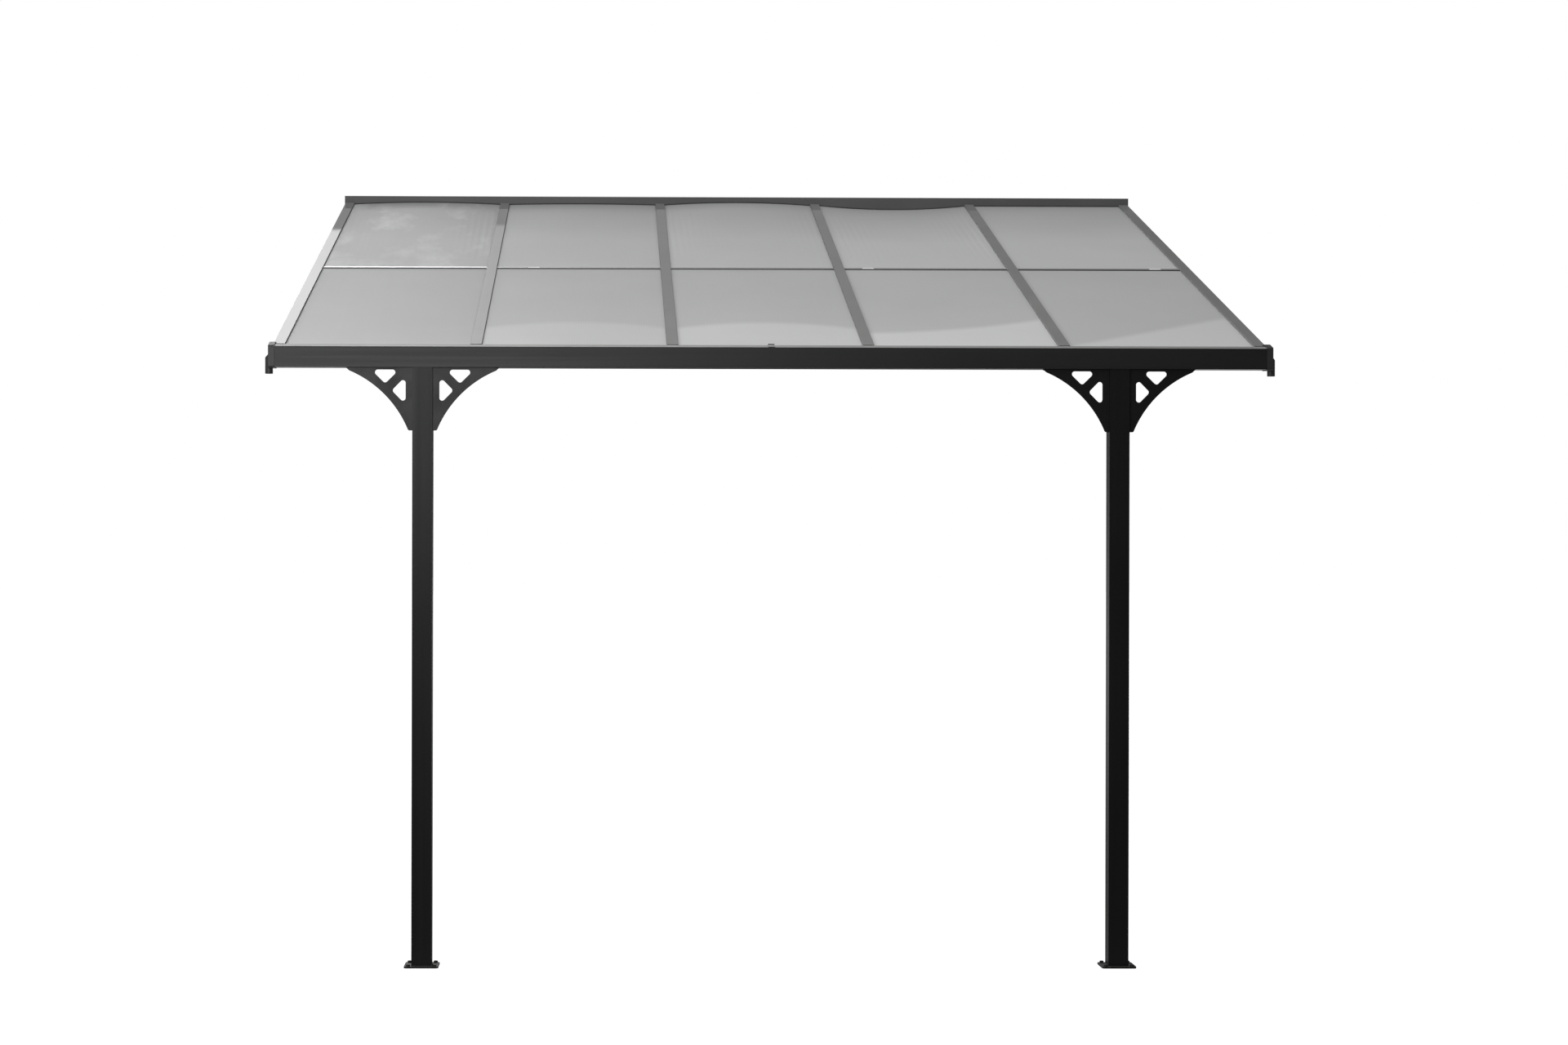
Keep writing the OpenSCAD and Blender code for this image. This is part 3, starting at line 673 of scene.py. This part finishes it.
class PATIO_OT_cap_seals(Operator):
    """Adds the rubber seals that press on the sheets beside the rafter caps"""
    bl_idname = "patio.cap_seals"
    bl_label = "Cap seals"

    def execute(self, context):
        wide = sizes().seal
        tall = 1.6 * MM
        skin = -CAP_TALL
        joint_low, joint_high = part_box("sheet_joints")
        joint_s = (-(joint_low.y + joint_high.y) / 2 - LEDGER_FACE) / math.cos(SLOPE)
        joint_half = 19 * MM
        end_s = (-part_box("sheet_lower_1")[0].y - LEDGER_FACE) / math.cos(SLOPE) - 22 * MM
        stretches = ((4 * MM, joint_s - joint_half), (joint_s + joint_half, end_s))
        section = [(0, 0.02 * MM), (wide, 0.02 * MM), (0.85 * wide, 0.5 * tall), (0.3 * wide, tall), (0, tall)]

        def build(bm):
            for i in range(1, RAFTERS + 1):
                for side in (-1, 1):
                    if not 1 <= i + (side - 1) / 2 <= BAYS:
                        continue
                    edge = rafter_x(i) + side * (CAP_WIDE / 2 + 0.02 * MM)
                    for start, end in stretches:
                        spine = [lambda a, b, s=s: on_roof(edge + side * a, s, skin + b) for s in (start, end)]
                        add_strip(bm, section, spine)
        mesh_piece("cap_seals", build, "grey_seal")
        return {"FINISHED"}


class PATIO_OT_joint_beads(Operator):
    """Adds the dark bead along the lower edge of each cross joint"""
    bl_idname = "patio.joint_beads"
    bl_label = "Joint beads"

    def execute(self, context):
        deep, tall = 3 * MM, 4 * MM
        front = (-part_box("sheet_joints")[0].y - LEDGER_FACE) / math.cos(SLOPE) + 0.5 * MM
        section = [(0, 0.02 * MM), (deep, 0.02 * MM), (deep, 0.8 * tall), (0.7 * deep, tall), (0, tall)]

        def build(bm):
            for i in range(1, BAYS + 1):
                left = rafter_x(i) + CAP_WIDE / 2 + 1 * MM
                right = rafter_x(i + 1) - CAP_WIDE / 2 - 1 * MM
                spine = [lambda a, b, x=x: on_roof(x, front + a, b - CAP_TALL) for x in (left, right)]
                add_strip(bm, section, spine)
        mesh_piece("joint_beads", build, "seal")
        return {"FINISHED"}


class PATIO_OT_ledger_seal(Operator):
    """Adds the bead between the ledger's face and the crowned sheets"""
    bl_idname = "patio.ledger_seal"
    bl_label = "Ledger seal"

    def execute(self, context):
        leg = 4 * MM
        stations = 24
        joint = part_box("sheet_joints")[1]
        behind = 20 * MM
        share = 1 - behind / ((-joint.y - LEDGER_FACE) / math.cos(SLOPE) + behind)
        section = [(0, 0), (leg, 0), (0.62 * leg, 0.3 * leg), (0.3 * leg, 0.62 * leg), (0, leg)]

        def build(bm):
            for i in range(1, BAYS + 1):
                left, right = rafter_x(i) + CAP_WIDE / 2, rafter_x(i + 1) - CAP_WIDE / 2
                middle, wide = (left + right) / 2, right - left
                spine = []
                for k in range(stations + 1):
                    u = (k / stations - 0.5) * (wide - 0.4 * MM)
                    z = PLANE + (share * crown(u, wide, BOWS[i - 1]) - CAP_TALL) / math.cos(SLOPE)
                    spine.append(lambda a, b, x=middle + u, z=z: Vector(
                        (x, -LEDGER_FACE - 0.02 * MM - a, z + 0.05 * MM - a * math.tan(SLOPE) + b)))
                add_strip(bm, section, spine)
        mesh_piece("ledger_seal", build, "seal")
        return {"FINISHED"}


class PATIO_OT_stage(Operator):
    """Sets up the camera, the pale floor, the lamps and the world"""
    bl_idname = "patio.stage"
    bl_label = "Studio"

    def execute(self, context):
        make_camera()
        make_floor()
        make_lamps()
        make_dark_front()
        make_world()
        return {"FINISHED"}


def make_camera():
    view = studio()
    data = bpy.data.cameras.new("camera")
    data.sensor_width = 36
    data.lens = view.lens
    data.shift_x = view.shift_x
    data.shift_y = view.shift_y
    data.clip_end = 200
    camera = bpy.data.objects.new("camera", data)
    bpy.context.scene.collection.objects.link(camera)
    ahead = Vector((math.sin(view.yaw) * math.cos(view.pitch), math.cos(view.yaw) * math.cos(view.pitch),
                    math.sin(view.pitch)))
    right = Vector((math.cos(view.yaw), -math.sin(view.yaw), 0))
    up = right.cross(ahead)
    turned_right = right * math.cos(view.roll) + up * math.sin(view.roll)
    turned_up = up * math.cos(view.roll) - right * math.sin(view.roll)
    turn = Matrix((turned_right, turned_up, -ahead)).transposed().to_4x4()
    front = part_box("gutter_left")[0].y
    camera.matrix_world = Matrix.Translation((view.aside, front - view.distance, GROUND + view.eye)) @ turn
    bpy.context.scene.camera = camera


def make_floor():
    """A pale floor that shows as the background's white and still takes a faint shadow."""
    mat, nodes, links, shader = new_material("floor")
    nodes.remove(shader)
    out = nodes["Material Output"]
    path = nodes.new("ShaderNodeLightPath")
    seen = calc(nodes, links, "MAXIMUM", path.outputs["Is Camera Ray"], path.outputs["Is Transmission Ray"])
    # reflections see the glow beside the cover, and the plain matt floor under it
    aside = calc(nodes, links, "ABSOLUTE", split(nodes, links, place(nodes, links))["X"])
    mirrored = calc(nodes, links, "MULTIPLY", path.outputs["Is Glossy Ray"], spread(nodes, links, aside, 0.0, 1.0, 1.4, 2.2))
    seen = calc(nodes, links, "MAXIMUM", seen, mirrored)
    glow = nodes.new("ShaderNodeEmission")
    glow.inputs["Color"].default_value = (1, 1, 1, 1)
    links.new(spread(nodes, links, seen, 0.0, 0.86), glow.inputs["Strength"])
    matt = nodes.new("ShaderNodeBsdfDiffuse")
    matt.inputs["Color"].default_value = (0.5, 0.5, 0.5, 1)
    total = nodes.new("ShaderNodeAddShader")
    links.new(glow.outputs["Emission"], total.inputs[0])
    links.new(matt.outputs["BSDF"], total.inputs[1])
    links.new(total.outputs["Shader"], out.inputs["Surface"])
    half = 60
    bm = bmesh.new()
    corners = [bm.verts.new((x, y, GROUND - 0.0005)) for x, y in ((-half, -half), (half, -half), (half, half), (-half, half))]
    bm.faces.new(corners)
    mesh = bpy.data.meshes.new("floor")
    bm.to_mesh(mesh)
    bm.free()
    floor = bpy.data.objects.new("floor", mesh)
    bpy.context.scene.collection.objects.link(floor)
    floor.data.materials.append(mat)


def area_light(name, at, target, size, power):
    data = bpy.data.lights.new(name, "AREA")
    data.shape = "RECTANGLE"
    data.size, data.size_y = size
    data.energy = power
    lamp = bpy.data.objects.new(name, data)
    lamp.location = at
    lamp.rotation_mode = "QUATERNION"
    lamp.rotation_quaternion = (Vector(target) - Vector(at)).to_track_quat("-Z", "Y")
    bpy.context.scene.collection.objects.link(lamp)
    return lamp


def make_lamps():
    view = studio()
    key = area_light("key", (-2.0, -7.3, -0.35), (-1.3, -3.0, -1.0), (2.6, 1.6), view.key)
    strip = area_light("overhead_strip", (0.0, -3.35, 1.7), (0.0, -3.0, -0.9), (4.2, 0.5), view.strip)
    fill = area_light("fill", (0.0, -5.0, 5.0), (0.0, -1.5, -0.5), (5.0, 3.0), view.fill)
    for lamp in (key, strip, fill):
        lamp.visible_camera = False


def make_dark_front():
    """The unlit side of the studio behind the camera and its floor, which only reflections see."""
    mat, nodes, links, shader = new_material("dark_front")
    nodes.remove(shader)
    glow = nodes.new("ShaderNodeEmission")
    glow.inputs["Color"].default_value = (0.05, 0.05, 0.05, 1)
    links.new(glow.outputs["Emission"], nodes["Material Output"].inputs["Surface"])
    half, top, far = 18, 9, -17
    near = GUTTER_FRONT - 0.2
    floor_z = GROUND + 0.01
    rows = ((near, floor_z), (far, floor_z), (far, top))
    bm = bmesh.new()
    edges = [[bm.verts.new((x, y, z)) for x in (-half, half)] for y, z in rows]
    for low, high in zip(edges, edges[1:]):
        bm.faces.new((low[0], low[1], high[1], high[0]))
    mesh = bpy.data.meshes.new("dark_front")
    bm.to_mesh(mesh)
    bm.free()
    wall = bpy.data.objects.new("dark_front", mesh)
    bpy.context.scene.collection.objects.link(wall)
    wall.data.materials.append(mat)
    wall.visible_camera = False
    wall.visible_diffuse = False
    wall.visible_shadow = False
    wall.visible_transmission = False


def make_world():
    world = bpy.data.worlds.new("studio")
    bpy.context.scene.world = world
    world.use_nodes = True
    nodes = world.node_tree.nodes
    links = world.node_tree.links
    back = nodes["Background"]
    back.inputs["Color"].default_value = (1, 1, 1, 1)
    # what reflections see: dark low down behind the cover, paler above, less to the right, and a bright card
    # at the left
    to = split(nodes, links, nodes.new("ShaderNodeTexCoord").outputs["Generated"])
    aside = spread(nodes, links, calc(nodes, links, "ABSOLUTE", to["X"]), 0.0, 0.9, 0.3, 0.5)
    sky = calc(nodes, links, "MAXIMUM", spread(nodes, links, to["Z"], 0.04, 1.0, 0.2, 0.38), aside)
    sky = calc(nodes, links, "MULTIPLY", sky, spread(nodes, links, to["X"], 1.0, 0.1, 0.0, 0.2))
    edge = calc(nodes, links, "MULTIPLY", spread(nodes, links, to["Z"], 0.0, 1.0, 0.4364, 0.4370),
                spread(nodes, links, to["Z"], 1.0, 0.0, 0.6, 0.7))
    edge = calc(nodes, links, "MULTIPLY", edge, spread(nodes, links, to["Z"], 1.0, 1.2, 0.4367, 0.474))
    side = calc(nodes, links, "MULTIPLY", spread(nodes, links, to["X"], studio().card, 0.0, -0.1, -0.01),
                spread(nodes, links, to["X"], 0.0, 1.0, -0.4, -0.3))
    glossy = calc(nodes, links, "MULTIPLY_ADD", edge, side, sky)
    path = nodes.new("ShaderNodeLightPath")
    seen = calc(nodes, links, "MAXIMUM", path.outputs["Is Camera Ray"], path.outputs["Is Transmission Ray"])
    plain = spread(nodes, links, seen, studio().ambient, 1.0)
    mirrored = path.outputs["Is Glossy Ray"]
    dimmed = calc(nodes, links, "MULTIPLY", plain, calc(nodes, links, "SUBTRACT", 1.0, mirrored))
    links.new(calc(nodes, links, "MULTIPLY_ADD", mirrored, glossy, dimmed), back.inputs["Strength"])
    bpy.context.scene.view_settings.view_transform = "Standard"


class PATIO_PT_panel(Panel):
    """Lists the patio cover's steps and values"""
    bl_idname = "PATIO_PT_panel"
    bl_label = "Patio cover"
    bl_space_type = "VIEW_3D"
    bl_region_type = "UI"
    bl_category = "Patio cover"

    def draw(self, context):
        for step in STEPS:
            self.layout.operator(step.bl_idname)
        for group in (sizes(), finish(), studio()):
            box = self.layout.box()
            for name in group.__annotations__:
                box.prop(group, name)


STEPS = (PATIO_OT_finishes, PATIO_OT_anchors, PATIO_OT_wall_bolts, PATIO_OT_bracket_screws,
         PATIO_OT_rafter_screws, PATIO_OT_splice_screws, PATIO_OT_cap_seals, PATIO_OT_joint_beads, PATIO_OT_ledger_seal,
         PATIO_OT_stage)
CLASSES = (PatioSizes, PatioFinish, PatioStudio, *STEPS, PATIO_PT_panel)


def register():
    for cls in CLASSES:
        bpy.utils.register_class(cls)
    bpy.types.Scene.patio_sizes = PointerProperty(type=PatioSizes)
    bpy.types.Scene.patio_finish = PointerProperty(type=PatioFinish)
    bpy.types.Scene.patio_studio = PointerProperty(type=PatioStudio)


def unregister():
    del bpy.types.Scene.patio_studio
    del bpy.types.Scene.patio_finish
    del bpy.types.Scene.patio_sizes
    for cls in reversed(CLASSES):
        bpy.utils.unregister_class(cls)


def main():
    register()
    bpy.ops.patio.finishes()
    bpy.ops.patio.anchors()
    bpy.ops.patio.wall_bolts()
    bpy.ops.patio.bracket_screws()
    bpy.ops.patio.rafter_screws()
    bpy.ops.patio.splice_screws()
    bpy.ops.patio.cap_seals()
    bpy.ops.patio.joint_beads()
    bpy.ops.patio.ledger_seal()
    bpy.ops.patio.stage()


if __name__ == "__main__":
    main()
